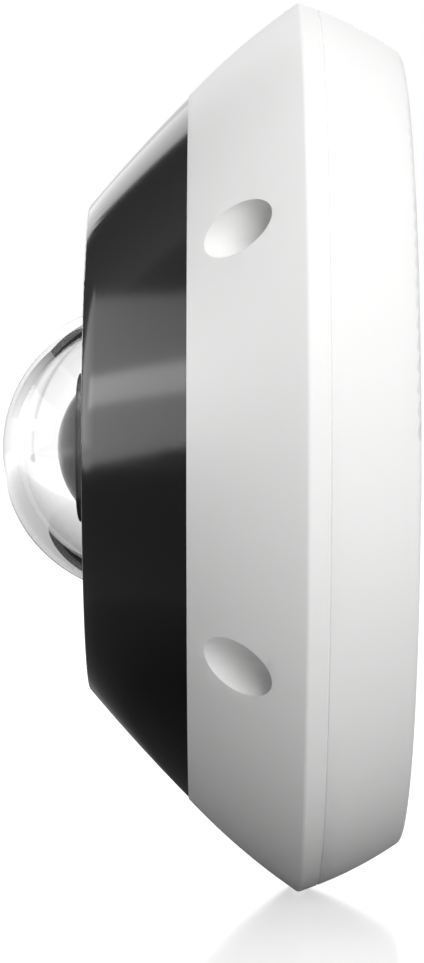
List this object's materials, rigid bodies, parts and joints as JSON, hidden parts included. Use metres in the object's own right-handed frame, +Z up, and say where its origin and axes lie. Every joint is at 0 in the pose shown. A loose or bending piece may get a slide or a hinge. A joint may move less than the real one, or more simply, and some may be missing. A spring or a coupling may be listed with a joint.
{
  "type": "fisheye network camera",
  "caption": "Round wall or ceiling camera: white conical housing, dark infrared window, clear dome over a fisheye lens, lift-off cover.",
  "frame": {"origin": "centre of the back face, on the wall plane", "axes": "+X from the dome into the wall, +Z up, Y level along the wall"},
  "size_m": [0.0693, 0.1538, 0.1538],
  "materials": {
    "white_paint": "white powder coat on a die casting, satin, very fine grain",
    "grey_foam": "closed-cell foam, matt",
    "black_rubber": "matt moulded rubber",
    "blue_pad": "soft heat-conducting pad, matt",
    "green_board": "green solder mask",
    "chip_black": "moulded chip package, matt",
    "yellow_tape": "wound coil under yellow tape",
    "can_aluminium": "bright drawn can",
    "tin_shell": "tinned sheet, satin",
    "gold_contact": "gold plated, bright",
    "dark_plastic": "black moulded plastic, matt",
    "red_plastic": "moulded plastic",
    "green_plastic": "moulded plastic, satin",
    "ivory_plastic": "moulded plastic, satin",
    "amber_ribbon": "thin film, glossy",
    "standoff_brass": "turned brass",
    "chassis_steel": "zinc plated sheet, satin",
    "screw_steel": "stainless, satin",
    "sensor_glass": "cover glass over the sensor chip",
    "filter_glass": "coated flat glass",
    "magnet_grey": "bonded magnet",
    "coil_copper": "enamelled wire",
    "black_metal": "black anodised, satin",
    "lens_glass": "coated lens glass, dark",
    "lamp_body": "lamp package with a clear lens",
    "black_gloss": "black infrared-passing plastic, polished",
    "clear_dome": "clear polished dome"
  },
  "bodies": {
    "root": {"base_housing": "white_paint", "wall_gasket": "grey_foam", "cable_grommet": "black_rubber", "cover_gasket": "black_rubber", "thermal_pad": "blue_pad", "main_board": "green_board", "sensor_board": "green_board", "lamp_board": "green_board", "processor": "chip_black", "memory_chips": "chip_black", "power_transformer": "yellow_tape", "capacitors": "can_aluminium", "network_jack": "tin_shell", "card_slot": "tin_shell", "jack_contacts": "gold_contact", "reset_switch": "dark_plastic", "power_terminal": "green_plastic", "alarm_terminal": "green_plastic", "terminal_screws": "screw_steel", "ribbon_connectors": "ivory_plastic", "sensor_ribbon": "amber_ribbon", "lamp_ribbon": "amber_ribbon", "board_standoffs": "standoff_brass", "lamp_standoffs": "standoff_brass", "chassis_plate": "chassis_steel", "frame_screws": "screw_steel", "image_sensor": "sensor_glass", "lens_holder": "dark_plastic", "filter_guide": "dark_plastic", "filter_yoke": "chassis_steel", "filter_coil": "coil_copper", "focus_lock_ring": "black_metal", "lens_barrel": "black_metal", "rear_lens_ring": "black_metal", "lens_ring": "black_metal", "rear_lens": "lens_glass", "middle_lens": "lens_glass", "front_lens": "lens_glass", "infrared_lamps": "lamp_body", "lens_shroud": "dark_plastic", "shroud_screws": "screw_steel"},
    "cover": {"front_cover": "white_paint", "ir_window": "black_gloss", "window_screws": "screw_steel", "dome_bubble": "clear_dome", "dome_gasket": "black_rubber", "dome_retainer": "chassis_steel", "retainer_screws": "screw_steel", "sealing_washers": "black_rubber", "cover_screws": "screw_steel"},
    "memory_card": {"memory_card": "chip_black"},
    "reset_button": {"reset_button": "red_plastic"},
    "filter_carriage": {"filter_carriage": "dark_plastic", "ir_cut_filter": "filter_glass", "clear_filter": "filter_glass"},
    "filter_rotor": {"filter_rotor": "magnet_grey"}
  },
  "joints": [
    {"name": "cover_lift", "type": "slide", "parent": "root", "child": "cover", "axis": [-1, 0, 0], "range_m": [0, 0.075]},
    {"name": "card_slide", "type": "slide", "parent": "root", "child": "memory_card", "axis": [0, 0, 1], "range_m": [0, 0.015]},
    {"name": "reset_press", "type": "slide", "parent": "root", "child": "reset_button", "axis": [1, 0, 0], "range_m": [0, 0.0003], "stiffness_N_per_m": 2000, "springref_m": -0.0004},
    {"name": "filter_slide", "type": "slide", "parent": "root", "child": "filter_carriage", "axis": [0, -1, 0], "range_m": [0, 0.0086]},
    {"name": "filter_turn", "type": "hinge", "parent": "root", "child": "filter_rotor", "pos_m": [-0.0272, 0, 0.0164], "axis": [-1, 0, 0], "range_deg": [0, 75.81]}
  ],
  "couplings": [
    {"joint": "filter_turn", "follows": "filter_slide", "rad_per_m": 153.83}
  ]
}
